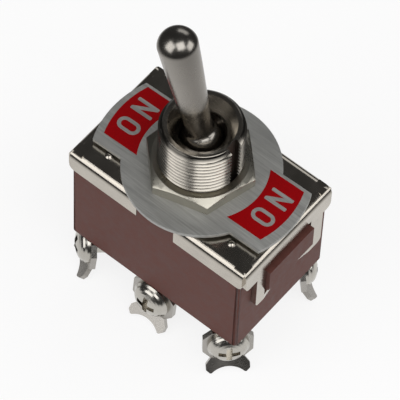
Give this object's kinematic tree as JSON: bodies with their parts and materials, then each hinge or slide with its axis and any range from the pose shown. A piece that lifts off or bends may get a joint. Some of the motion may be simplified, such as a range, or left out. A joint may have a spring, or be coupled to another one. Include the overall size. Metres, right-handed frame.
{
  "type": "panel toggle switch",
  "caption": "Panel-mount bat-lever toggle switch with a threaded bushing, hex nut, indicator plate, moulded body and screw terminals.",
  "frame": {"origin": "on the bushing's axis, in the plane of the steel cover's top face, where the body seats behind the panel", "axes": "+Z along the bushing towards the lever's tip, X the direction in which the lever swings (keyway at +X), Y across the two poles"},
  "size_m": [0.032, 0.023, 0.0548],
  "materials": {
    "phenolic": "moulded phenolic, semi-gloss reddish brown",
    "fibre": "vulcanised fibre sheet, matt",
    "cover_steel": "nickel plated sheet steel",
    "bushing_plating": "nickel plated brass, turned",
    "plate_aluminium": "brushed aluminium with printed fields",
    "nut_plating": "nickel plated",
    "lever_plating": "nickel plated brass, polished",
    "nylon": "natural nylon",
    "spring_steel": "spring wire",
    "rocker_copper": "copper alloy strip",
    "silver_contact": "silver alloy",
    "terminal_plating": "nickel plated brass strip, stamped",
    "screw_plating": "nickel plated steel"
  },
  "bodies": {
    "base": {"housing": "phenolic", "insulator": "fibre", "cover": "cover_steel", "bushing": "bushing_plating", "lock_washer": "cover_steel", "indicator_plate": "plate_aluminium", "hex_nut": "nut_plating", "fixed_contacts": "silver_contact", "common_terminal_front": "terminal_plating", "common_terminal_back": "terminal_plating", "left_terminal_front": "terminal_plating", "left_terminal_back": "terminal_plating", "right_terminal_front": "terminal_plating", "right_terminal_back": "terminal_plating", "terminal_screws": "screw_plating"},
    "lever": {"lever": "lever_plating", "pivot_pin": "cover_steel", "plunger_carrier": "nylon", "carrier_pin": "cover_steel", "plunger_spring_front": "spring_steel", "plunger_spring_back": "spring_steel"},
    "plunger_front": {"plunger_front": "nylon"},
    "plunger_back": {"plunger_back": "nylon"},
    "rocker_front": {"rocker_front": "rocker_copper", "rocker_contacts_front": "silver_contact"},
    "rocker_back": {"rocker_back": "rocker_copper", "rocker_contacts_back": "silver_contact"}
  },
  "joints": [
    {"name": "lever_tilt", "type": "hinge", "parent": "base", "child": "lever", "pos_m": [0, 0, 0.0075], "axis": [0, 1, 0], "range_deg": [0, 29.8]},
    {"name": "plunger_front_slide", "type": "slide", "parent": "lever", "child": "plunger_front", "axis": [-0.2571, 0, 0.9664], "range_m": [0, 0.001], "stiffness_N_per_m": 100, "springref_m": -0.002, "deforming": ["plunger_spring_front"]},
    {"name": "plunger_back_slide", "type": "slide", "parent": "lever", "child": "plunger_back", "axis": [-0.2571, 0, 0.9664], "range_m": [0, 0.001], "stiffness_N_per_m": 100, "springref_m": -0.002, "deforming": ["plunger_spring_back"]},
    {"name": "rocker_front_tilt", "type": "hinge", "parent": "base", "child": "rocker_front", "pos_m": [0, -0.0046, -0.012], "axis": [0, 1, 0], "range_deg": [-16, 0]},
    {"name": "rocker_back_tilt", "type": "hinge", "parent": "base", "child": "rocker_back", "pos_m": [0, 0.0046, -0.012], "axis": [0, 1, 0], "range_deg": [-16, 0]}
  ],
  "couplings": [
    {"joint": "rocker_front_tilt", "follows": "lever_tilt", "ratio": -0.53691},
    {"joint": "rocker_back_tilt", "follows": "lever_tilt", "ratio": -0.53691}
  ]
}
